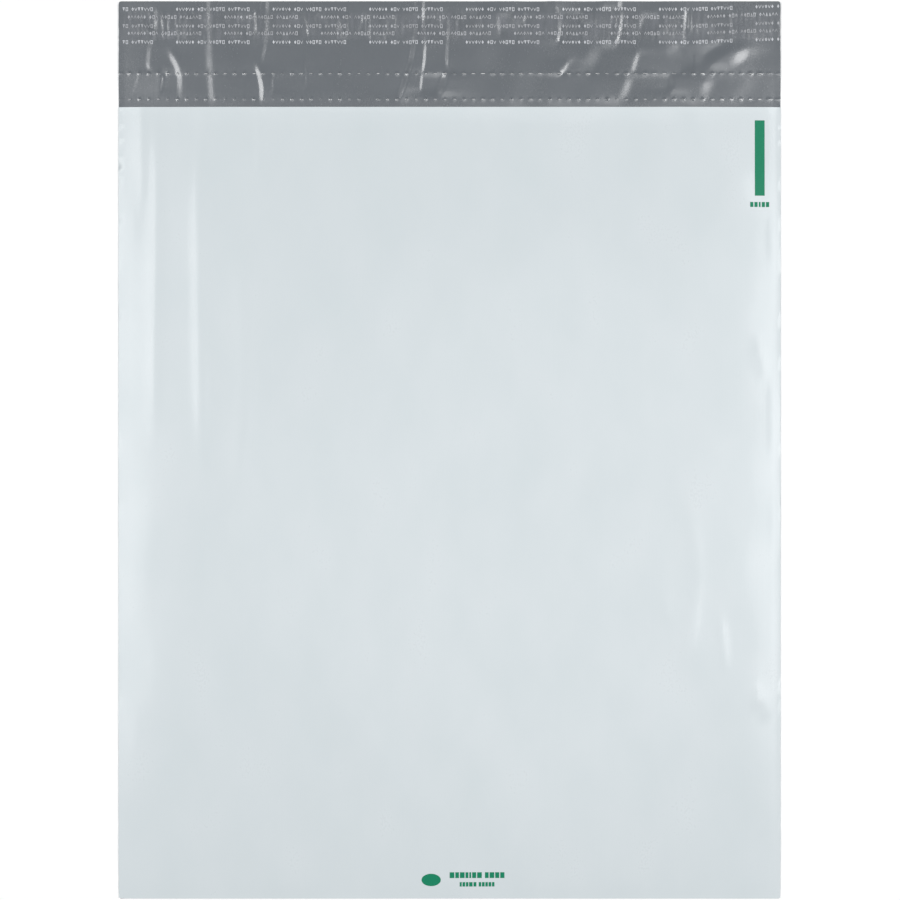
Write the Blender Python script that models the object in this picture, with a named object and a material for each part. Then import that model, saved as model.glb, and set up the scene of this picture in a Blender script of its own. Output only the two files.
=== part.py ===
"""An open, empty poly mailer bag lying on its back, with its sealing flap spread flat past the mouth.

X runs across the bag, +Y points to the flap and +Z leaves the front panel. Z is 0 under the back panel.
"""

from math import cos, pi, sin

import bmesh
import bpy

# Driving dimensions, in metres.
WIDTH = 0.3302
BODY_LENGTH = 0.3951
FLAP_LENGTH = 0.0525
FILM = 0.00006

# How far the relaxed front panel stands off the back panel, and how square its crown is.
LOFT = 0.0075
CROWN_POWER = 8
FOLD_RISE = 0.0002

# The side welds: a bead of melted film along each side of the body.
WELD_WIDTH = 0.0004
WELD_HEIGHT = 0.0003
WELD_BULGE = 0.0001
WELD_FLAT = 0.0008

# The two rows of perforation slits across the flap, above the mouth.
# Each row is its height above the mouth and the length of its slits.
SLIT_PITCH = 0.0047625
SLIT_WIDTH = 0.00025
SLIT_ROWS = ((0.0040, 0.0016), (0.0168, 0.0024))
SLIT_EDGE_MARGIN = 0.003
SLIT_CUT_DEPTH = 2 * FILM

# The adhesive on the flap and the release liner that covers it.
ADHESIVE_WIDTH = 0.013
ADHESIVE_THICKNESS = 0.0001
ADHESIVE_FROM_EDGE = 0.0060
LINER_WIDTH = 0.020
LINER_THICKNESS = 0.00005
LINER_FROM_EDGE = 0.0025
STRIP_SIDE_INSET = 0.0003
LAYER_GAP = 0.0003

COLUMNS = 24
FRONT_ROWS = 22
FOLD_STEPS = 4

TOP_Y = (BODY_LENGTH + FLAP_LENGTH) / 2
BOTTOM_Y = -TOP_Y
MOUTH_Y = TOP_Y - FLAP_LENGTH
SHEET_HALF = WIDTH / 2 - WELD_BULGE
POCKET_HALF = SHEET_HALF - WELD_FLAT
BACK_Z = FILM / 2
FRONT_Z = BACK_Z + FOLD_RISE
FOLD_Y = BOTTOM_Y + (FOLD_RISE + FILM) / 2


def clear_scene():
    for item in list(bpy.data.objects):
        bpy.data.objects.remove(item, do_unlink=True)


def material(name, colour, roughness, alpha=1.0):
    made = bpy.data.materials.new(name)
    made.use_nodes = True
    shader = made.node_tree.nodes["Principled BSDF"]
    shader.inputs["Base Color"].default_value = (*colour, 1.0)
    shader.inputs["Roughness"].default_value = roughness
    shader.inputs["Metallic"].default_value = 0.0
    shader.inputs["Alpha"].default_value = alpha
    return made


def add_object(name, mesh_data, surface=None):
    mesh = bpy.data.meshes.new(name)
    mesh_data.to_mesh(mesh)
    mesh_data.free()
    made = bpy.data.objects.new(name, mesh)
    bpy.context.scene.collection.objects.link(made)
    if surface:
        mesh.materials.append(surface)
    return made


def add_box(mesh_data, low, high):
    corners = bmesh.ops.create_cube(mesh_data, size=1.0)["verts"]
    for corner in corners:
        for axis in range(3):
            middle = (low[axis] + high[axis]) / 2
            corner.co[axis] = middle + corner.co[axis] * (high[axis] - low[axis])


def eased(step, steps):
    """From -1 to 1, with the stations closer together towards both ends."""
    return sin(pi / 2 * (2 * step / steps - 1))


def column_stations():
    """Places across the web: even ones over the pocket, and one at each cut edge."""
    inner = [POCKET_HALF * eased(step, COLUMNS) for step in range(COLUMNS + 1)]
    return [-SHEET_HALF, *inner, SHEET_HALF]


def web_profile():
    """(y, z) along the middle of the film: flap, back panel, bottom fold, front panel."""
    points = [(TOP_Y, BACK_Z), (MOUTH_Y, BACK_Z)]
    radius = FOLD_RISE / 2
    for step in range(FOLD_STEPS + 1):
        angle = pi * step / FOLD_STEPS
        points.append((FOLD_Y - radius * sin(angle), BACK_Z + radius * (1 - cos(angle))))
    for step in range(1, FRONT_ROWS + 1):
        # Half of the easing, so that the rows are closest at the fold.
        share = 1 + eased(step, 2 * FRONT_ROWS)
        points.append((FOLD_Y + (MOUTH_Y - FOLD_Y) * share, FRONT_Z))
    return points


def crown(x, y):
    """Share of the loft at a point of the front panel: 0 at the welds and the fold, 1 in the middle."""
    across = min(1.0, abs(x) / POCKET_HALF)
    down = (MOUTH_Y - y) / (MOUTH_Y - FOLD_Y)
    return (1 - across**CROWN_POWER) * (1 - down**CROWN_POWER)


def folded_web():
    """The whole film as one sheet without thickness: its profile, drawn out across the width."""
    web = bmesh.new()
    stations = column_stations()
    points = [web.verts.new((stations[0], y, z)) for y, z in web_profile()]
    edges = [web.edges.new(pair) for pair in zip(points, points[1:])]
    for before, here in zip(stations, stations[1:]):
        drawn = bmesh.ops.extrude_edge_only(web, edges=edges)["geom"]
        edges = [item for item in drawn if isinstance(item, bmesh.types.BMEdge)]
        points = [item for item in drawn if isinstance(item, bmesh.types.BMVert)]
        bmesh.ops.translate(web, verts=points, vec=(here - before, 0, 0))
    front = [point for point in web.verts if point.co.z > FRONT_Z - FILM / 2]
    for point in front:
        point.co.z += LOFT * crown(point.co.x, point.co.y)
    bmesh.ops.recalc_face_normals(web, faces=web.faces)
    return web


def hide_helper(helper):
    helper.hide_render = True
    helper.display_type = "WIRE"


def weld_beads():
    """Both side welds, from just above the fold to just past the mouth."""
    beads = bmesh.new()
    for side in (-1, 1):
        outer = side * WIDTH / 2
        inner = outer - side * WELD_WIDTH
        low = (min(outer, inner), BOTTOM_Y + WELD_BULGE, BACK_Z)
        high = (max(outer, inner), MOUTH_Y + WELD_HEIGHT, WELD_HEIGHT)
        add_box(beads, low, high)
    made = add_object("weld_bead_shapes", beads)
    hide_helper(made)
    return made


def perforation_slits():
    """Every slit of both rows, as one helper that cuts them."""
    slits = bmesh.new()
    count = int((WIDTH - 2 * SLIT_EDGE_MARGIN) / SLIT_PITCH)
    for above_mouth, length in SLIT_ROWS:
        middle_y = MOUTH_Y + above_mouth
        for index in range(count):
            middle_x = (index - (count - 1) / 2) * SLIT_PITCH
            low = (middle_x - length / 2, middle_y - SLIT_WIDTH / 2, BACK_Z - SLIT_CUT_DEPTH)
            high = (middle_x + length / 2, middle_y + SLIT_WIDTH / 2, BACK_Z + SLIT_CUT_DEPTH)
            add_box(slits, low, high)
    made = add_object("perforation_slit_shapes", slits)
    hide_helper(made)
    return made


def boolean(target, name, operation, other):
    step = target.modifiers.new(name, "BOOLEAN")
    step.operation = operation
    step.object = other
    step.solver = "EXACT"


def mailer_film():
    white = material("white_film", (0.78, 0.82, 0.84), 0.28)
    made = add_object("mailer_film", folded_web(), white)
    thickness = made.modifiers.new("film_thickness", "SOLIDIFY")
    thickness.thickness = FILM
    thickness.offset = 0.0
    thickness.use_even_offset = True
    boolean(made, "side_welds", "UNION", weld_beads())
    boolean(made, "perforations", "DIFFERENCE", perforation_slits())


def strip(name, surface, from_edge, length, bottom, thickness):
    """A flat strip across the flap's inner face."""
    half = SHEET_HALF - STRIP_SIDE_INSET
    high_y = TOP_Y - from_edge
    body = bmesh.new()
    add_box(body, (-half, high_y - length, bottom), (half, high_y, bottom + thickness))
    add_object(name, body, surface)


def adhesive_strip():
    glue = material("hot_melt_adhesive", (0.42, 0.44, 0.45), 0.45)
    bottom = FILM + LAYER_GAP
    strip("adhesive_strip", glue, ADHESIVE_FROM_EDGE, ADHESIVE_WIDTH, bottom, ADHESIVE_THICKNESS)


def release_liner():
    clear = material("clear_liner", (0.72, 0.74, 0.75), 0.12, alpha=0.35)
    bottom = FILM + LAYER_GAP + ADHESIVE_THICKNESS + LAYER_GAP
    strip("release_liner", clear, LINER_FROM_EDGE, LINER_WIDTH, bottom, LINER_THICKNESS)


clear_scene()
mailer_film()
adhesive_strip()
release_liner()
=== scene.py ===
from math import hypot, pi

import bpy
import numpy as np
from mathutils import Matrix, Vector


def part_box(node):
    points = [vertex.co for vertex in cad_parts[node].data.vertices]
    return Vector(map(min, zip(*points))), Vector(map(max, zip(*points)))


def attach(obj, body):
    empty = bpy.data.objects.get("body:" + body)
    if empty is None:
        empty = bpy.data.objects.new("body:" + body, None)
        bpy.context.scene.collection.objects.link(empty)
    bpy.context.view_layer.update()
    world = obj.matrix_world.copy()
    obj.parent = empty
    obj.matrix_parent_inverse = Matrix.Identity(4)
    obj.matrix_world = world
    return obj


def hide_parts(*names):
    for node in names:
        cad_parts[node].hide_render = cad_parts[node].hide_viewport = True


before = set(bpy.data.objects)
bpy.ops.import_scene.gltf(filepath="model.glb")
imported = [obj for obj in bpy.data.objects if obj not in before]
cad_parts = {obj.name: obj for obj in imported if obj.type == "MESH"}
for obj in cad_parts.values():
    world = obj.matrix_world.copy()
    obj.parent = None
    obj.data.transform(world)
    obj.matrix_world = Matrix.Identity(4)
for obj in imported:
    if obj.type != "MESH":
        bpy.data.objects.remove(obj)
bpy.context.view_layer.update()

mm = 0.001

# Places along the bag, in millimetres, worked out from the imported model.
lowCorner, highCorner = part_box("mailer_film")
linerLow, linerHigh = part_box("release_liner")
glueLow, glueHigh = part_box("adhesive_strip")
halfWidth = highCorner.x / mm
topY = highCorner.y / mm
bottomY = lowCorner.y / mm

bag = {
    "flapLength": 52.8,
    "film": 0.06,
    "weld": 0.22,            # how thick the melted side edges are
    "weldReach": 0.9,
    "loft": 2.0,             # how far the front panel stands off the back panel
    "mouthLoft": 0.8,
    "crownPower": 8,         # higher keeps the panel flat for longer towards its edges
    "panelGap": 0.16,
    "backColumns": 640,
    "flapRows": 44,
    "backRows": 9,
    "panelColumns": 120,
    "panelRows": 84,
    "flapWaves": 0.034,      # the slope of the soft waves between the creases
    "driftReach": 11,        # how wide a rise across the flap has to be before it settles
    "lean": 0.36,            # the slope of a strong crease in the middle of the flap
    "outSideLean": -0.14,    # what the sides add to it where it falls outwards
    "inSideLean": 0.07,
    "leastLean": 0.16,       # the weakest crease, as a share of that
    "panelClearance": 0.3,   # between the mouth and the creases under it
    "cornerReach": 1.2,
    "edgeWander": 0.16,      # how far the hot-knife edge strays from straight
}
mouthY = topY - bag["flapLength"]
flapStep = 0.25
flapFrom = mouthY - 12

# Each crease: width in millimetres, strength up to 1, then the points that it runs through. It falls
# towards the nearer side of the bag, or with a negative strength towards the middle.
flapCreases = [
    (1.3, 0.96, (-146.3, 221), (-145.3, 216.5), (-146.2, 209.3), (-147.8, 205)),
    (2.6, 0.37, (-147.8, 206), (-149.8, 199.8), (-150.6, 191.5), (-147.8, 187)),
    (0.8, -0.58, (-151, 214), (-150, 211), (-147.6, 208)),
    (0.9, 0.58, (-155.2, 187), (-155.9, 184), (-158.9, 176)),
    (1.7, -1.0, (-144.6, 190), (-142.9, 186), (-144.2, 177.6)),
    (3.0, 0.54, (-141, 200.5), (-136.2, 191.5), (-134.5, 186), (-134.8, 173.5)),
    (1.8, -0.5, (-129.3, 218), (-128.8, 212), (-130, 206)),
    (1.2, -0.37, (-125.3, 217), (-125.4, 206)),
    (1.8, 0.88, (-120.2, 233), (-120.2, 214), (-120.1, 201)),
    (4.6, 0.21, (-120.2, 206), (-119.6, 187)),
    (4.0, 0.25, (-119.9, 190), (-118.4, 171)),
    (1.2, -0.46, (-112.6, 217), (-112.4, 205)),
    (2.2, -0.46, (-106, 217.5), (-103.6, 206)),
    (1.5, 0.58, (-96.9, 219), (-96.6, 205)),
    (0.8, -0.58, (-94, 231), (-94, 206)),
    (1.7, 1.0, (-90.7, 234), (-90.8, 217), (-91.1, 206.5), (-92.3, 199.8), (-94, 192.5)),
    (2.5, 0.79, (-97, 193), (-94.7, 186), (-93.6, 180), (-94.2, 172)),
    (1.7, -0.42, (-88.2, 187.5), (-88.2, 177.5)),
    (1.0, -0.37, (-82.3, 217.5), (-82.3, 210)),
    (1.3, -0.5, (-79.5, 217.5), (-79.5, 206)),
    (1.4, -0.42, (-72.3, 195), (-71.5, 188), (-71.5, 179)),
    (1.5, 0.5, (-71.6, 217.5), (-70.6, 205)),
    (1.2, -0.88, (-67.6, 218), (-66.4, 211.5), (-64.7, 207.5)),
    (0.8, 0.5, (-62.6, 217), (-60, 210)),
    (3.0, 0.37, (-55, 218), (-55, 204.5)),
    (2.0, -0.37, (-50.8, 218), (-51, 205)),
    (2.2, -0.42, (-43.4, 217), (-46.4, 205)),
    (1.3, 0.79, (-39.0, 219), (-40.2, 211.5), (-39.3, 203)),
    (3.0, -0.33, (-30.5, 217), (-30.5, 205)),
    (2.0, -0.46, (-23.5, 217.5), (-23, 206)),
    (0.8, 0.5, (-17, 232), (-17, 218)),
    (2.9, 1.0, (-16, 213), (-17.3, 205), (-19.2, 194), (-21.2, 188), (-23.2, 181.5), (-26.6, 172)),
    (1.5, -1.0, (-12.8, 234), (-13, 213), (-12, 201.5)),
    (1.9, -0.58, (-12, 204), (-12.5, 194), (-13.7, 187)),
    (1.6, -0.42, (-13.6, 188.5), (-14.5, 178)),
    (1.4, 0.37, (-4.2, 217), (-4.2, 206)),
    (2.4, 0.68, (-0.1, 221), (-0.3, 208), (-1.0, 202), (-1.4, 193.7), (-0.8, 188)),
    (4.2, 0.58, (-1.0, 189), (-3.0, 184), (-6.5, 176)),
    (1.3, 0.54, (4.3, 217.5), (4.4, 211), (5.6, 205)),
    (2.2, -0.83, (15.2, 220.5), (13.2, 215), (11.7, 210)),
    (2.4, 0.5, (23.8, 218), (25.2, 206)),
    (2.0, -0.42, (31.6, 218), (31.8, 211)),
    (1.0, -0.58, (33.2, 212), (35, 206)),
    (1.6, 0.67, (37.3, 217.5), (37.1, 212)),
    (2.6, -0.46, (49.3, 230), (47.6, 219.5)),
    (0.8, -0.58, (52, 216.5), (51.3, 212)),
    (1.5, 1.0, (52.6, 223), (54.8, 216), (55.2, 210), (54.8, 206), (52.0, 201.5)),
    (2.8, 0.5, (60.5, 195), (57.5, 190), (53.5, 186.5)),
    (2.4, -0.71, (66.6, 219), (66.0, 212)),
    (2.2, -0.37, (65.8, 212.5), (65.6, 205)),
    (3.0, -0.46, (78.5, 229), (73.8, 219.8)),
    (3.0, 0.46, (85.6, 230), (85, 219)),
    (2.0, 0.83, (86, 219.5), (85.4, 211), (84.2, 205.5), (82.4, 200)),
    (1.4, -0.58, (88.9, 217), (88.6, 206)),
    (3.6, 0.42, (95, 200), (92.4, 192.5), (91.2, 187)),
    (5.5, 0.25, (91, 188), (88.5, 181), (85, 172.5)),
    (2.8, 0.58, (96.4, 218), (95.6, 210.5)),
    (2.6, -0.46, (105.4, 218), (103.6, 208)),
    (3.6, -0.33, (110.4, 188), (111, 182), (108.5, 177.5)),
    (1.3, 0.75, (118, 221), (117.6, 211), (117.4, 202)),
    (1.2, -0.67, (119.8, 218.5), (119.4, 208)),
    (0.7, -0.5, (121.9, 198), (122.3, 189)),
    (1.2, -0.58, (133.4, 212), (132.4, 204)),
    (1.3, 0.83, (139.8, 219), (140.9, 212), (141.6, 207), (143.8, 200)),
    (6.0, 0.17, (148.5, 200), (144, 195), (138, 190.5)),
    (9.0, 0.17, (152, 186), (148, 178), (140, 170)),
    (9.0, 0.2, (110, 204), (113, 196), (118, 188)),
    (7.0, 0.17, (132, 187), (128, 180), (126, 172)),
    (8.0, 0.17, (75, 203), (71, 195), (66, 186)),
    (6.0, -0.25, (141, 203), (131, 196), (126, 189)),
]

# The same for the front panel, with the height in millimetres in place of the strength.
panelFolds = [
    (3.4, 0.30, (-153.6, 176), (-153.8, 150), (-153.4, 120)),
    (4.6, 0.42, (-146.4, 172), (-146.0, 120), (-147.0, 60), (-147.4, 6)),
    (5.2, 0.46, (-122.6, 176), (-124.8, 130), (-124.4, 70), (-122.8, -16)),
    (1.5, 0.20, (-94.8, 178), (-94.8, 155), (-95.4, 132)),
    (9.0, 0.40, (-104.0, 120), (-101.0, 40), (-106.0, -40)),
    (10.0, 0.45, (112.0, 178), (128.0, 150), (154.0, 122)),
    (2.2, 0.34, (160.8, 116), (162.0, 100), (162.6, 88)),
    (3.6, 0.55, (151.0, 54), (156.0, 46), (159.0, 38)),
    (2.2, 0.40, (161.4, 40), (162.4, 15), (161.6, -6)),
    (2.0, 0.34, (161.6, -22), (162.6, -34), (161.4, -46)),
    (2.6, 0.34, (134.6, -82), (136.0, -94), (137.4, -108)),
    (2.8, 0.60, (149.6, -118), (154.0, -123), (160.0, -129)),
    (3.6, 0.24, (107.0, -70), (109.0, -88)),
    (6.0, 0.40, (118.0, -20), (124.0, -60), (116.0, -120)),
]

slits = {
    "pitch": 4.7625,
    "edgeMargin": 3.0,
    "upperRow": 16.8,        # above the mouth
    "lowerRow": 4.0,
    "upperLength": 2.2,
    "lowerLength": 1.5,
    "leftShare": 0.62,       # the blade had cut less deep, so its slits are shorter on the left
    "width": 0.3,
    "burr": 0.4,             # how far the film beside a slit is pushed up
    "burrReach": 0.5,
    "seed": 11,
}

glue = {"lift": 0.06, "thickness": 0.08, "crinkle": 0.17, "crinkleSpacing": 2.3, "seed": 5}
liner = {"lift": 0.2, "thickness": 0.05, "endRise": 1.5, "endRiseFrom": 118.0}


def note(text):
    print("mailer:", text)


def clearSelection():
    if bpy.context.mode != "OBJECT":
        bpy.ops.object.mode_set(mode="OBJECT")
    bpy.ops.object.select_all(action="DESELECT")


def choose(piece):
    clearSelection()
    piece.select_set(True)
    bpy.context.view_layer.objects.active = piece


def readPoints(piece):
    flat = np.empty(len(piece.data.vertices) * 3)
    piece.data.vertices.foreach_get("co", flat)
    points = flat.reshape(-1, 3) / mm
    return points[:, 0], points[:, 1], points[:, 2]


def writePoints(piece, x, y, z):
    piece.data.vertices.foreach_set("co", (np.stack([x, y, z], axis=1) * mm).ravel())
    piece.data.update()


def applyModifier(piece, name):
    choose(piece)
    bpy.ops.object.modifier_apply(modifier=name)


def smoothStep(value, low, high):
    share = np.clip((value - low) / (high - low), 0, 1)
    return share * share * (3 - 2 * share)


# A grid starts as a unit sheet, and its lines then go where the film needs them.
def addGrid(name, acrossLines, alongLines):
    clearSelection()
    bpy.ops.mesh.primitive_grid_add(
        x_subdivisions=len(acrossLines) - 1, y_subdivisions=len(alongLines) - 1, size=1)
    piece = bpy.context.object
    piece.name = name
    piece.data.name = name
    x, y, z = readPoints(piece)
    columns = np.rint((x * mm + 0.5) * (len(acrossLines) - 1)).astype(int)
    rows = np.rint((y * mm + 0.5) * (len(alongLines) - 1)).astype(int)
    return piece, np.asarray(acrossLines)[columns], np.asarray(alongLines)[rows]


# Lines from low to high, crowded together near the given places.
def crowdedLines(low, high, count, places, reach, crowd):
    spots = np.linspace(low, high, 4000)
    weight = np.ones_like(spots)
    near = np.zeros_like(spots)
    for place in places:
        near = np.maximum(near, np.exp(-((spots - place) / reach) ** 2))
    weight += crowd * near
    total = np.concatenate([[0], np.cumsum((weight[1:] + weight[:-1]) / 2)])
    return np.interp(np.linspace(0, total[-1], count + 1), total, spots)


# How far points are from a path, with the side of it, and the share of its length that they are along.
def pathPlaces(x, y, path):
    nearest = np.full_like(x, 1e6)
    side = np.zeros_like(x)
    along = np.zeros_like(x)
    run = 0
    for (startX, startY), (endX, endY) in zip(path, path[1:]):
        length = hypot(endX - startX, endY - startY)
        stepX, stepY = (endX - startX) / length, (endY - startY) / length
        reach = np.clip((x - startX) * stepX + (y - startY) * stepY, 0, length)
        awayX, awayY = x - startX - reach * stepX, y - startY - reach * stepY
        away = np.hypot(awayX, awayY)
        closer = away < nearest
        nearest = np.where(closer, away, nearest)
        side = np.where(closer, np.sign(stepX * awayY - stepY * awayX), side)
        along = np.where(closer, run + reach, along)
        run += length
    return nearest * side, along / run


def fadeEnds(share):
    return smoothStep(np.minimum(share, 1 - share), -0.05, 0.26)


# The slope across the flap that one crease adds.
def creaseSlope(x, y, crease):
    width, strength, *path = crease
    signed, share = pathPlaces(x, y, path)
    towards = np.sign(path[0][0]) * (1 if strength >= 0 else -1)
    sideLean = bag["outSideLean"] if strength >= 0 else bag["inSideLean"]
    lean = bag["lean"] + sideLean * abs(path[0][0]) / halfWidth
    lean *= bag["leastLean"] + (1 - bag["leastLean"]) * abs(strength)
    across = 1 - smoothStep(np.abs(signed) / (0.66 * width), 0.25, 1)
    return -towards * lean * across * fadeEnds(share)


def foldHeight(x, y, fold):
    width, height, *path = fold
    signed, share = pathPlaces(x, y, path)
    return height * fadeEnds(share) / (1 + (signed / width) ** 2) ** 2


# Smooth random waves between about -1 and 1. They run along the bag, and are longer that way.
def softWaves(x, y, seed, spacing, stretch):
    draw = np.random.default_rng(seed)
    total = np.zeros_like(x)
    count = 14
    for wave in range(count):
        pitch = spacing * draw.uniform(0.6, 1.7)
        lean = draw.normal(0, 1) / stretch
        total += np.sin(2 * pi * (x + lean * y) / pitch + draw.uniform(0, 2 * pi))
    return total / (count / 2) ** 0.5 / 1.6


# The adhesive shrinks as it sets, and draws the film over it into fine ripples.
def crinkleSlope(x, y):
    inBand = smoothStep(y, glueLow.y / mm - 1.0, glueLow.y / mm + 0.5)
    inBand = inBand * (1 - smoothStep(y, glueHigh.y / mm - 0.5, glueHigh.y / mm + 1.0))
    patches = np.clip(0.5 + 0.5 * softWaves(x, y, glue["seed"] + 1, 30, 3), 0, 1)
    return glue["crinkle"] * inBand * patches * softWaves(x, y, glue["seed"], glue["crinkleSpacing"], 9)


def blurAcross(rows, reach):
    half = int(3 * reach / flapStep)
    kernel = np.exp(-((np.arange(-half, half + 1) * flapStep / reach) ** 2) / 2)
    kernel /= kernel.sum()
    padded = np.pad(rows, ((0, 0), (half, half)), mode="edge")
    return np.array([np.convolve(row, kernel, mode="valid") for row in padded])


# The slopes across the flap are summed from side to side, and the slow drift of that sum is taken out.
def flapSurface():
    lineX = np.arange(-halfWidth, halfWidth + flapStep, flapStep)
    lineY = np.arange(flapFrom, topY + flapStep, flapStep)
    x, y = np.meshgrid(lineX, lineY)
    calm = 0.3 + 0.7 * smoothStep(x, -60, 50)
    slope = bag["flapWaves"] * calm * softWaves(x, y, 21, 26, 1.6) + crinkleSlope(x, y)
    for crease in flapCreases:
        slope += creaseSlope(x, y, crease)
    height = np.cumsum(slope, axis=1) * flapStep
    height -= blurAcross(height, bag["driftReach"])
    height -= height.min()
    print("  flap stands up to %.2f mm" % height.max())
    return height, blurAcross(height, 6)


def tableAt(table, x, y):
    rows, columns = table.shape
    column = np.clip((x + halfWidth) / flapStep, 0, columns - 1.001)
    row = np.clip((y - flapFrom) / flapStep, 0, rows - 1.001)
    left, low = column.astype(int), row.astype(int)
    partX, partY = column - left, row - low
    lower = table[low, left] * (1 - partX) + table[low, left + 1] * partX
    upper = table[low + 1, left] * (1 - partX) + table[low + 1, left + 1] * partX
    return lower * (1 - partY) + upper * partY


# The creases die out below the mouth, and sooner beside the welds.
def creasesHere(x, y):
    inside = smoothStep(halfWidth - np.abs(x), -6, 62)
    past = smoothStep(y, mouthY, mouthY + 26)
    return smoothStep(y, mouthY - 10, mouthY + 7) * (inside + past - inside * past)


# The weld is thicker than the film, so the middle of both films rises towards it.
def weldLift(x):
    rise = (bag["weld"] - bag["film"]) / 2
    return rise * smoothStep(np.abs(x), halfWidth - 3 * bag["weldReach"], halfWidth - 0.1)


# How far the middle of the back film and the flap stands over the floor.
def backHeight(x, y):
    return bag["film"] / 2 + weldLift(x) + tableAt(creased, x, y) * creasesHere(x, y)


def panelHeight(x, y):
    across = np.clip(np.abs(x) / (halfWidth - bag["weldReach"]), 0, 1)
    down = np.clip((mouthY - y) / (mouthY - bottomY), 0, 1)
    loft = bag["mouthLoft"] + (bag["loft"] - bag["mouthLoft"]) * smoothStep(mouthY - y, 0, 90)
    crown = loft * (1 - across ** bag["crownPower"]) * (1 - down ** bag["crownPower"])
    edge = (1 - smoothStep(across, 0.975, 1)) * (1 - smoothStep(down, 0.985, 1))
    folds = np.zeros_like(x)
    for fold in panelFolds:
        folds += foldHeight(x, y, fold)
    folds += 0.10 * (softWaves(x, y, 31, 60, 1.6) + 1.6)
    lip = 0.18 * np.exp(-((mouthY - y) / 1.4) ** 2)
    under = (tableAt(smoothed, x, y) + bag["panelClearance"]) * creasesHere(x, y)
    return bag["film"] / 2 + weldLift(x) + under + bag["panelGap"] + crown + (folds + lip) * edge


# The cut edge wanders a little, and more where the knife dragged on the right side.
def edgeShift(x, y):
    atEdge = smoothStep(np.abs(x), halfWidth - 4, halfWidth)
    wander = softWaves(y, x * 0, 41, 46, 50) * 0.8 + softWaves(y, x * 0, 42, 9, 50) * 0.5
    dragged = np.exp(-((y + 118) / 26) ** 2) * (x > 0)
    ragged = softWaves(y, x * 0, 43, 3.2, 50) * dragged
    return -np.sign(x) * atEdge * bag["edgeWander"] * (np.abs(wander) + 0.9 * np.abs(ragged))


def roundCorner(x, y):
    reach = bag["cornerReach"]
    cornerX = np.maximum(np.abs(x) - (halfWidth - reach), 0)
    for edgeY, side in ((topY, 1), (bottomY, -1)):
        cornerY = np.maximum(side * (y - edgeY) + reach, 0)
        away = np.maximum(np.hypot(cornerX, cornerY), 1e-9)
        pull = np.where((cornerX > 0) & (cornerY > 0), np.minimum(1, reach / away), 1)
        x = np.sign(x) * (np.minimum(np.abs(x), halfWidth - reach) + cornerX * pull)
        cornerX = np.maximum(np.abs(x) - (halfWidth - reach), 0)
        y = np.where(cornerY > 0, edgeY + side * (cornerY * pull - reach), y)
    return x, y


def slitShare(x):
    return slits["leftShare"] + (1 - slits["leftShare"]) * smoothStep(x, -30, 30)


def burrs(x, y):
    draw = np.random.default_rng(slits["seed"])
    total = np.zeros_like(x)
    for row, length in (("upperRow", "upperLength"), ("lowerRow", "lowerLength")):
        rowY = mouthY + slits[row]
        phase = (x / slits["pitch"]) % 1 - 0.5
        number = np.floor(x / slits["pitch"]).astype(int) + 50
        strength = draw.uniform(0.15, 1, 101)[np.clip(number, 0, 100)]
        reach = 0.42 * slits[length] * slitShare(x)
        inSlit = np.exp(-(phase * slits["pitch"] / reach) ** 2)
        total += slits["burr"] * strength * inSlit * np.exp(-((y - rowY) / slits["burrReach"]) ** 2)
    return total


# The strips on the flap use these same lines, so that every layer bends at the same places.
def flapColumns():
    creaseX = [point[0] for crease in flapCreases for point in crease[2:]]
    return crowdedLines(-halfWidth, halfWidth, bag["backColumns"], creaseX, 2.2, 1.6)


def flapRowLines():
    rowY = [mouthY + slits["upperRow"], mouthY + slits["lowerRow"]]
    return crowdedLines(mouthY, topY, bag["flapRows"], rowY, 0.9, 4)


def filmWeb():
    foldX = [point[0] for fold in panelFolds for point in fold[2:]]
    across = flapColumns()
    flapLines = flapRowLines()
    backLines = crowdedLines(bottomY, mouthY, bag["backRows"], [mouthY, mouthY - 12], 14, 9)
    along = np.concatenate([backLines[:-1], flapLines])
    back, x, y = addGrid("film_web", across, along)
    writePoints(back, x, y, x * 0)
    choose(back)
    bpy.ops.object.mode_set(mode="EDIT")
    bpy.ops.mesh.select_all(action="SELECT")
    bpy.ops.mesh.flip_normals()          # the back panel's outside faces the floor
    bpy.ops.object.mode_set(mode="OBJECT")

    acrossPanel = crowdedLines(-halfWidth, halfWidth, bag["panelColumns"], foldX, 7, 2.0)
    alongPanel = crowdedLines(bottomY, mouthY, bag["panelRows"], [mouthY], 26, 2.4)
    panel, x, y = addGrid("front_sheet", acrossPanel, alongPanel)
    writePoints(panel, x, y, x * 0 + 1)

    choose(back)
    panel.select_set(True)
    bpy.ops.object.join()
    return back


# The front sheet joins the back sheet down both sides and along the bottom.
def closeSides(web):
    edgeNear = 0.001
    for place in ("left", "right", "bottom"):
        choose(web)
        bpy.ops.object.mode_set(mode="EDIT")
        bpy.ops.mesh.select_all(action="DESELECT")
        bpy.ops.object.mode_set(mode="OBJECT")
        points = web.data.vertices
        for edge in web.data.edges:
            ends = [points[number].co / mm for number in edge.vertices]
            onLine = {
                "left": all(end.x < -halfWidth + edgeNear for end in ends),
                "right": all(end.x > halfWidth - edgeNear for end in ends),
                "bottom": all(end.y < bottomY + edgeNear for end in ends),
            }[place]
            edge.select = onLine and all(end.y < mouthY + edgeNear for end in ends)
        bpy.ops.object.mode_set(mode="EDIT")
        bpy.ops.mesh.select_mode(type="EDGE")
        bpy.ops.mesh.bridge_edge_loops()
        bpy.ops.object.mode_set(mode="OBJECT")
    print("  faces after closing", len(web.data.polygons))


def layDown(web):
    x, y, z = readPoints(web)
    onPanel = z > 0.5
    height = np.where(onPanel, panelHeight(x, y), backHeight(x, y) + burrs(x, y))
    x = x + edgeShift(x, y)
    x, y = roundCorner(x, y)
    writePoints(web, x, y, height)


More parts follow.
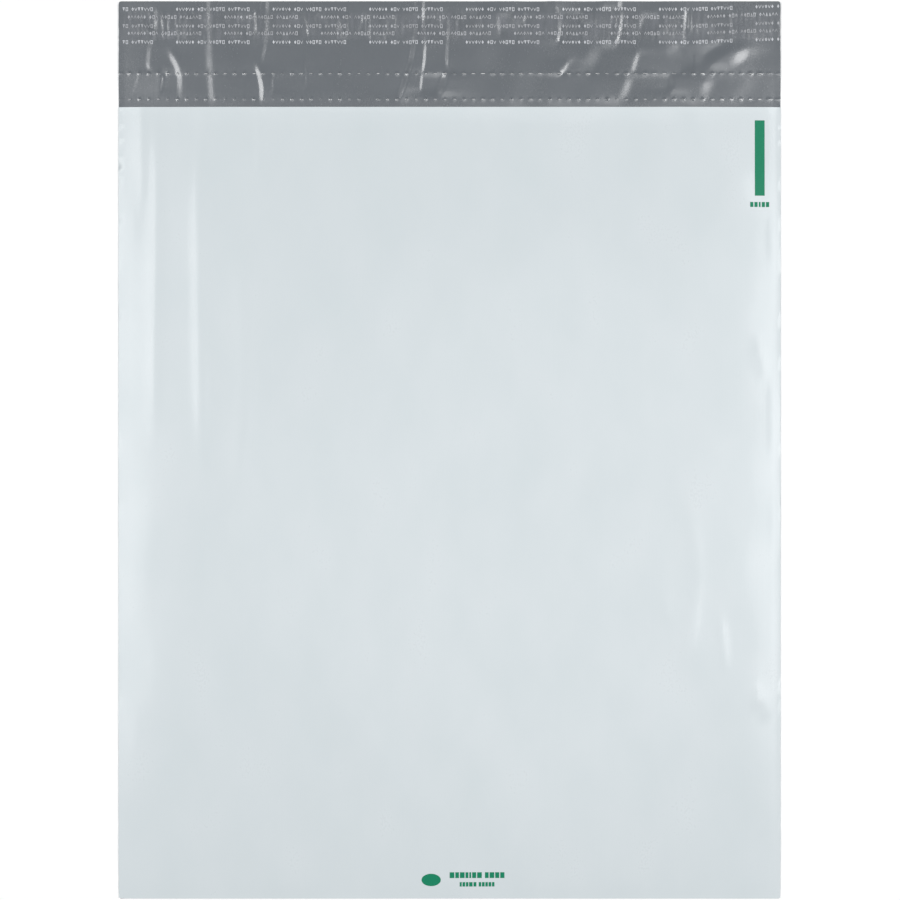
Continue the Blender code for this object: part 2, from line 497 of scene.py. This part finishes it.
def thicken(web):
    x, y, z = readPoints(web)
    weld = web.vertex_groups.new(name="weld")
    nearSide = smoothStep(np.abs(x), halfWidth - bag["weldReach"], halfWidth - 0.1) * (y < mouthY + 0.3)
    thinShare = bag["film"] / bag["weld"]
    shares = thinShare + (1 - thinShare) * nearSide
    for number, share in enumerate(shares):
        weld.add([number], float(share), "REPLACE")
    step = web.modifiers.new("filmThickness", "SOLIDIFY")
    step.thickness = bag["weld"] * mm
    step.offset = 0
    step.vertex_group = "weld"
    step.material_offset = 1
    step.use_rim = True
    applyModifier(web, "filmThickness")
    web.vertex_groups.clear()


def perforate(web):
    draw = np.random.default_rng(slits["seed"] + 1)
    count = 2 * int((halfWidth - slits["edgeMargin"]) / slits["pitch"])
    cutters = []
    for row, length in (("upperRow", "upperLength"), ("lowerRow", "lowerLength")):
        for number in range(count):
            x = (number - (count - 1) / 2) * slits["pitch"]
            clearSelection()
            bpy.ops.mesh.primitive_cube_add(
                size=mm, location=(x * mm, (mouthY + slits[row]) * mm, 1.0 * mm),
                rotation=(0, 0, draw.normal(0, 0.03)),
                scale=(slits[length] * slitShare(x), slits["width"] * draw.uniform(0.4, 1.1), 6))
            cutters.append(bpy.context.object)
    choose(cutters[0])
    for cutter in cutters:
        cutter.select_set(True)
    bpy.ops.object.join()
    cutter = bpy.context.object
    step = web.modifiers.new("slits", "BOOLEAN")
    step.operation = "DIFFERENCE"
    step.solver = "EXACT"
    step.object = cutter
    applyModifier(web, "slits")
    bpy.data.objects.remove(cutter)


def shadeSmooth(piece, degrees):
    choose(piece)
    bpy.ops.object.shade_smooth_by_angle(angle=degrees * pi / 180)


def linerDrift(x):
    return liner["endRise"] * smoothStep(x, liner["endRiseFrom"], halfWidth)


# A strip that lies on the flap and follows its creases.
def flapStrip(name, low, high, settings, drift):
    across = np.unique(np.clip(flapColumns(), low.x / mm, high.x / mm))
    along = np.unique(np.clip(flapRowLines(), low.y / mm, high.y / mm))
    piece, x, y = addGrid(name, across, along)
    y = y + drift(x)
    writePoints(piece, x, y, backHeight(x, y) + bag["film"] / 2 + settings["lift"])
    step = piece.modifiers.new("thickness", "SOLIDIFY")
    step.thickness = settings["thickness"] * mm
    step.offset = 1
    applyModifier(piece, "thickness")
    shadeSmooth(piece, 50)
    return piece


# Marks are cut from flat shapes, laid on the film under them and given the thickness of the ink.
def layInk(piece, height, ink):
    x, y, z = readPoints(piece)
    writePoints(piece, x, y, height(x, y) + z * ink)


def joinAll(pieces, name):
    choose(pieces[0])
    for piece in pieces:
        piece.select_set(True)
    bpy.ops.object.join()
    joined = bpy.context.object
    joined.name = name
    joined.data.name = name
    bpy.ops.object.transform_apply(location=True, rotation=True, scale=True)
    return joined


def copyOf(piece, x, y, turn=0, grow=(1, 1)):
    made = piece.copy()
    made.data = piece.data.copy()
    bpy.context.collection.objects.link(made)
    made.location = (x * mm, y * mm, 0)
    made.rotation_euler = (0, 0, turn)
    made.scale = (grow[0], grow[1], 1)
    return made


linerPrint = {
    "rows": (219.8, 215.9, 211.4, 207.8, 203.4),
    "groupPitch": 48.16,
    "firstGroup": -136.5,
    "words": (6, 3, 5, 7),
    "markPitch": 1.58,
    "wordGap": 1.3,
    "markHeight": 1.9,
    "markWidth": 1.2,
    "stroke": 0.36,
    "seed": 3,
    "ink": 0.02,
}


# Gives the selected faces of the object in hand the height of one unit, ready for layInk.
def raiseFaces():
    bpy.ops.mesh.extrude_region_move(TRANSFORM_OT_translate={"value": (0, 0, mm)})
    bpy.ops.mesh.select_all(action="SELECT")
    bpy.ops.mesh.normals_make_consistent(inside=False)
    bpy.ops.object.mode_set(mode="OBJECT")


# A thin bar with its middle pushed forward.
def chevron():
    clearSelection()
    bpy.ops.mesh.primitive_grid_add(x_subdivisions=2, y_subdivisions=1, size=mm)
    mark = bpy.context.object
    x, y, z = readPoints(mark)
    width, height, stroke = linerPrint["markWidth"], linerPrint["markHeight"], linerPrint["stroke"]
    bend = (height - 1.6 * stroke) * (1 - 2 * np.abs(x))
    writePoints(mark, x * width, y * stroke * 1.6 + bend - (height - 1.6 * stroke) / 2, z)
    choose(mark)
    bpy.ops.object.mode_set(mode="EDIT")
    bpy.ops.mesh.select_all(action="SELECT")
    raiseFaces()
    return mark


# A ring with the given number of corners, or a filled shape.
def cornered(corners, turn, filled, width=linerPrint["markWidth"], height=linerPrint["markHeight"]):
    clearSelection()
    bpy.ops.mesh.primitive_circle_add(
        vertices=corners, radius=mm, fill_type="NGON", rotation=(0, 0, turn))
    mark = bpy.context.object
    bpy.ops.object.transform_apply(rotation=True)
    x, y, z = readPoints(mark)
    y = (y - (y.max() + y.min()) / 2) * height / (y.max() - y.min())
    writePoints(mark, x * width / (x.max() - x.min()), y, z)
    choose(mark)
    bpy.ops.object.mode_set(mode="EDIT")
    bpy.ops.mesh.select_all(action="SELECT")
    if not filled:
        bpy.ops.mesh.inset(thickness=linerPrint["stroke"] * 0.9 * mm)
        bpy.ops.mesh.delete(type="FACE")
        bpy.ops.mesh.select_all(action="SELECT")
    raiseFaces()
    return mark


def linerMarks():
    shapes = [
        chevron(),
        cornered(4, 0, False),
        cornered(4, pi / 4, False),
        cornered(3, 0, False),
        cornered(4, 0, True),
    ]
    draw = np.random.default_rng(linerPrint["seed"])
    order = draw.integers(0, len(shapes), sum(linerPrint["words"]))
    copies = []
    limit = halfWidth - 1.2
    for number, rowY in enumerate(linerPrint["rows"]):
        turned = number % 2 == 0
        start = linerPrint["firstGroup"] - 2 * linerPrint["groupPitch"]
        if not turned:
            start += linerPrint["groupPitch"] / 2
        for group in range(9):
            x = start + group * linerPrint["groupPitch"]
            place = 0
            for word in linerPrint["words"]:
                for step in range(word):
                    middle = x + linerPrint["markWidth"] / 2
                    if abs(middle) < limit:
                        shape = shapes[order[place]]
                        copies.append(copyOf(shape, middle, rowY + linerDrift(middle), pi * turned))
                    x += linerPrint["markPitch"]
                    place += 1
                x += linerPrint["wordGap"]
    for shape in shapes:
        bpy.data.objects.remove(shape)
    marks = joinAll(copies, "liner_print")

    def onLiner(x, y):
        return backHeight(x, y) + bag["film"] / 2 + liner["lift"] + liner["thickness"] + 0.02
    layInk(marks, onLiner, linerPrint["ink"])
    return marks


# Each run of marks: the middle of its line, its height, then the width of each mark and of each gap.
panelPrint = {
    "bar": (154.65, 145.6, 4.9, 37.6),
    "oval": (-9.2, -214.4, 9.6, 6.2),
    "runs": (
        (154.6, 122.4, 2.5, (1.6, 0.5, 1.6, 0.6, 0.9, 0.6, 1.6, 0.5, 1.6)),
        (13.7, -212.0, 2.9, (2.3, 0.5, 1.8, 0.5, 2.3, 0.5, 1.4, 0.5, 0.9, 0.5, 2.0, 0.5, 2.3, 1.6,
                             1.8, 0.5, 2.3, 0.5, 2.0, 0.5, 2.1)),
        (13.7, -216.6, 2.2, (1.0, 0.4, 1.3, 0.4, 1.2, 0.4, 1.7, 0.5, 1.4, 1.2,
                             1.2, 0.4, 1.3, 0.4, 1.2, 0.4, 1.3, 0.4, 1.2)),
    ),
    "ink": 0.02,
    "gap": 0.05,
}


def inkPatch(x, y, width, length, columns, rows):
    clearSelection()
    bpy.ops.mesh.primitive_grid_add(
        x_subdivisions=columns, y_subdivisions=rows, size=mm, location=(x * mm, y * mm, 0))
    patch = bpy.context.object
    patch.scale = (width, length, 1)
    choose(patch)
    bpy.ops.object.transform_apply(location=True, rotation=True, scale=True)
    bpy.ops.object.mode_set(mode="EDIT")
    bpy.ops.mesh.select_all(action="SELECT")
    raiseFaces()
    return patch


def panelMarks():
    patches = [inkPatch(*panelPrint["bar"], 4, 24)]
    for x, y, height, widths in panelPrint["runs"]:
        x -= sum(widths) / 2
        for place, width in enumerate(widths):
            if place % 2 == 0:
                patches.append(inkPatch(x + width / 2, y, width, height, 1, 2))
            x += width
    x, y, width, height = panelPrint["oval"]
    oval = cornered(40, 0, True, width, height)
    oval.location = (x * mm, y * mm, 0)
    patches.append(oval)
    marks = joinAll(patches, "panel_print")

    def onPanel(x, y):
        return panelHeight(x, y) + bag["film"] / 2 + panelPrint["gap"]
    layInk(marks, onPanel, panelPrint["ink"])
    return marks


# Wraps a socket, so that shader maths is written as it would be on paper.
class Value:
    def __init__(self, paint, socket):
        self.paint = paint
        self.socket = socket

    def mathWith(self, operation, *others):
        node = self.paint.node("ShaderNodeMath", {"operation": operation}, [self, *others])
        return Value(self.paint, node.outputs[0])

    def __add__(self, other):
        return self.mathWith("ADD", other)

    def __radd__(self, other):
        return self.mathWith("ADD", other)

    def __sub__(self, other):
        return self.mathWith("SUBTRACT", other)

    def __rsub__(self, other):
        return self.mathWith("MULTIPLY_ADD", -1.0, other)

    def __mul__(self, other):
        return self.mathWith("MULTIPLY", other)

    def __rmul__(self, other):
        return self.mathWith("MULTIPLY", other)


class Paint:
    def __init__(self, name):
        self.material = bpy.data.materials.new(name)
        self.material.use_nodes = True
        self.tree = self.material.node_tree
        self.shader = self.tree.nodes["Principled BSDF"]

    # A node by its type, its settings and then what goes in its sockets, by place or by name.
    def node(self, kind, settings=None, inputs=None):
        made = self.tree.nodes.new(kind)
        for name, value in (settings or {}).items():
            setattr(made, name, value)
        pairs = inputs.items() if isinstance(inputs, dict) else enumerate(inputs or [])
        for name, value in pairs:
            self.feed(made.inputs[name], value)
        return made

    def feed(self, socket, value):
        if isinstance(value, Value):
            self.tree.links.new(value.socket, socket)
        elif isinstance(value, bpy.types.NodeSocket):
            self.tree.links.new(value, socket)
        else:
            socket.default_value = value

    def set(self, **values):
        for name, value in values.items():
            self.feed(self.shader.inputs[name.replace("_", " ")], value)

    # Object coordinates, scaled so that 1 is the given size in millimetres along each axis.
    def place(self, sizeX, sizeY, sizeZ):
        coordinates = self.node("ShaderNodeTexCoord").outputs["Object"]
        scale = (1 / (sizeX * mm), 1 / (sizeY * mm), 1 / (sizeZ * mm))
        return self.node("ShaderNodeMapping", None, {"Vector": coordinates, "Scale": scale}).outputs[0]

    def along(self, axis):
        coordinates = self.node("ShaderNodeTexCoord").outputs["Object"]
        return Value(self, self.node("ShaderNodeSeparateXYZ", None, [coordinates]).outputs[axis])

    def noise(self, sizeX, sizeY, sizeZ, detail=2.0, roughness=0.5):
        inputs = {
            "Vector": self.place(sizeX, sizeY, sizeZ),
            "Scale": 1.0,
            "Detail": detail,
            "Roughness": roughness,
        }
        return Value(self, self.node("ShaderNodeTexNoise", None, inputs).outputs["Fac"])

    def range(self, value, low, high, newLow, newHigh):
        inputs = {"Value": value, 1: low, 2: high, 3: newLow, 4: newHigh}
        return Value(self, self.node("ShaderNodeMapRange", {"clamp": True}, inputs).outputs[0])

    def mix(self, share, first, second):
        node = self.node("ShaderNodeMix", {"data_type": "RGBA"})
        self.feed(node.inputs[0], share)
        self.feed(node.inputs[6], (*first, 1) if isinstance(first, tuple) else first)
        self.feed(node.inputs[7], (*second, 1) if isinstance(second, tuple) else second)
        return node.outputs[2]

    def bump(self, height, depth, strength=1.0):
        inputs = {"Height": height, "Distance": depth * mm, "Strength": strength}
        return self.node("ShaderNodeBump", None, inputs).outputs[0]


def linear(red, green, blue):
    shares = [level / 255 for level in (red, green, blue)]
    return tuple(c / 12.92 if c <= 0.04 else ((c + 0.055) / 1.055) ** 2.4 for c in shares)


# Blown film: faint lines from the die run the long way, over a soft mottle.
def filmPaint(name, colour, shade, roughness, gloss):
    paint = Paint(name)
    dieLines = paint.noise(1.1, 160, 40, 3.0)
    mottle = paint.noise(26, 44, 30, 3.0)
    fine = paint.noise(0.9, 1.3, 1.0, 2.0)
    paint.set(
        Base_Color=paint.mix(paint.range(mottle, 0.3, 0.7, 0, 1), colour, shade),
        Roughness=paint.range(mottle * 0.6 + fine * 0.4, 0.3, 0.7, roughness - 0.04, roughness + 0.05),
        Normal=paint.bump(dieLines * 0.7 + fine * 0.3, 0.02),
        Specular_IOR_Level=gloss,
        Coat_Weight=0.5 * gloss,
        Coat_Roughness=0.1,
    )
    return paint.material


def gluePaint():
    paint = Paint("clearHotMelt")
    streaks = paint.noise(1.6, 14, 10, 2.0)
    haze = paint.noise(11, 8, 8, 3.0)
    cloudy = paint.range(streaks * 0.6 + haze * 0.4, 0.36, 0.66, 0, 1)
    paint.set(
        Base_Color=paint.mix(cloudy, linear(150, 154, 158), linear(196, 198, 208)),
        Roughness=0.25,
        IOR=1.9,
        Alpha=paint.range(cloudy, 0, 1, 0.02, 0.08),
        Normal=paint.bump(streaks, 0.02),
    )
    return paint.material


def linerPaint():
    paint = Paint("clearReleaseFilm")
    ripple = paint.noise(3.0, 20, 10, 2.0)
    haze = paint.noise(18, 9, 10, 2.0)
    paint.set(
        Base_Color=(*linear(160, 165, 170), 1),
        Roughness=0.15,
        IOR=2.4,
        Alpha=paint.range(haze, 0.3, 0.7, 0.02, 0.04),
        Normal=paint.bump(ripple, 0.01),
    )
    return paint.material


# Ink over the adhesive shows less than ink beside it.
def inkPaint(name, colour, worn, alphaLow, alphaHigh, overGlue=1):
    paint = Paint(name)
    patchy = paint.noise(0.5, 0.5, 0.5, 2.0)
    broad = paint.noise(14, 6, 10, 2.0)
    fromGlue = paint.along("Y") - (glueLow.y + glueHigh.y) / 2
    besideGlue = paint.range(fromGlue * fromGlue, (5 * mm) ** 2, (7 * mm) ** 2, overGlue, 1)
    paint.set(
        Base_Color=paint.mix(paint.range(patchy, 0.35, 0.75, 0, 1), colour, worn),
        Roughness=paint.range(patchy, 0.3, 0.7, 0.38, 0.5),
        Specular_IOR_Level=0.25,
        Alpha=paint.range(patchy * 0.5 + broad * 0.5, 0.35, 0.6, alphaLow, alphaHigh) * besideGlue,
    )
    return paint.material


# Each light: its name, place, size, watts and the point that it faces.
studio = {
    "floor": linear(252, 252, 252),
    "floorDepth": 0.0002,
    "air": (0.94, 0.97, 1.0),
    "airStrength": 0.16,
    "lights": (
        ("rightBank", (1.0, 0.05, 1.4), (0.78, 1.1), 17.5, (0.05, 0.05, 0)),
        ("leftBank", (-1.0, 0.05, 1.4), (0.78, 1.1), 16.0, (-0.05, 0.05, 0)),
        ("overheadCard", (0.12, -0.12, 1.55), (0.6, 0.6), 2.0, (0.05, -0.05, 0)),
    ),
    "camera": (0.0002, 0, 1.2475),
    "lens": 100,
    "sensor": 36,
}


def softbox(name, place, size, watts, aimAt):
    light = bpy.data.lights.new(name, "AREA")
    light.shape = "RECTANGLE"
    light.size, light.size_y = size
    light.energy = watts
    lamp = bpy.data.objects.new(name, light)
    bpy.context.collection.objects.link(lamp)
    lamp.location = place
    reach = [aim - here for aim, here in zip(aimAt, place)]
    lamp.rotation_euler = Vector(reach).to_track_quat("-Z", "Y").to_euler()


def buildStudio():
    clearSelection()
    bpy.ops.mesh.primitive_plane_add(size=8, location=(0, 0, -studio["floorDepth"]))
    floor = bpy.context.object
    floor.name = "floor"
    paint = Paint("paleFloor")
    paint.set(Base_Color=(*studio["floor"], 1), Roughness=0.9)
    floor.data.materials.append(paint.material)

    world = bpy.data.worlds.new("studioAir")
    bpy.context.scene.world = world
    world.use_nodes = True
    air = world.node_tree.nodes["Background"]
    air.inputs["Color"].default_value = (*studio["air"], 1)
    air.inputs["Strength"].default_value = studio["airStrength"]
    for light in studio["lights"]:
        softbox(*light)

    bpy.ops.object.camera_add(location=studio["camera"], rotation=(0, 0, 0))
    camera = bpy.context.object
    camera.data.lens = studio["lens"]
    camera.data.sensor_width = studio["sensor"]
    bpy.context.scene.camera = camera
    bpy.context.scene.view_settings.view_transform = "Standard"


buildStudio()
note("studio ready")

creased, smoothed = flapSurface()
web = filmWeb()
note("film laid out")
closeSides(web)
layDown(web)
outside = filmPaint("whiteFilm", linear(209, 216, 219), linear(205, 213, 216), 0.3, 0.35)
inside = filmPaint("greyFilm", linear(104, 109, 114), linear(98, 103, 108), 0.25, 1.0)
web.data.materials.append(outside)
web.data.materials.append(inside)
thicken(web)
note("film thickened")
perforate(web)
shadeSmooth(web, 40)
note("film perforated, %d faces" % len(web.data.polygons))

glueLine = flapStrip("adhesive_line", glueLow, glueHigh, glue, lambda x: 0 * x)
glueLine.data.materials.append(gluePaint())
linerStrip = flapStrip("liner_film", linerLow, linerHigh, liner, linerDrift)
linerStrip.data.materials.append(linerPaint())
note("adhesive and liner laid")

whiteMarks = linerMarks()
whiteInk = inkPaint("whiteInk", linear(226, 228, 232), linear(200, 204, 210), 0.5, 0.95, 0.62)
whiteMarks.data.materials.append(whiteInk)
greenMarks = panelMarks()
greenInk = inkPaint("greenInk", linear(0, 128, 92), linear(3, 120, 87), 1, 1)
greenMarks.data.materials.append(greenInk)
note("print laid")

for piece, slotName in (
    (web, "film"),
    (greenMarks, "film"),
    (glueLine, "adhesive"),
    (linerStrip, "liner"),
    (whiteMarks, "liner"),
):
    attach(piece, "root")
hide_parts("mailer_film")
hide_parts("adhesive_strip")
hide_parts("release_liner")
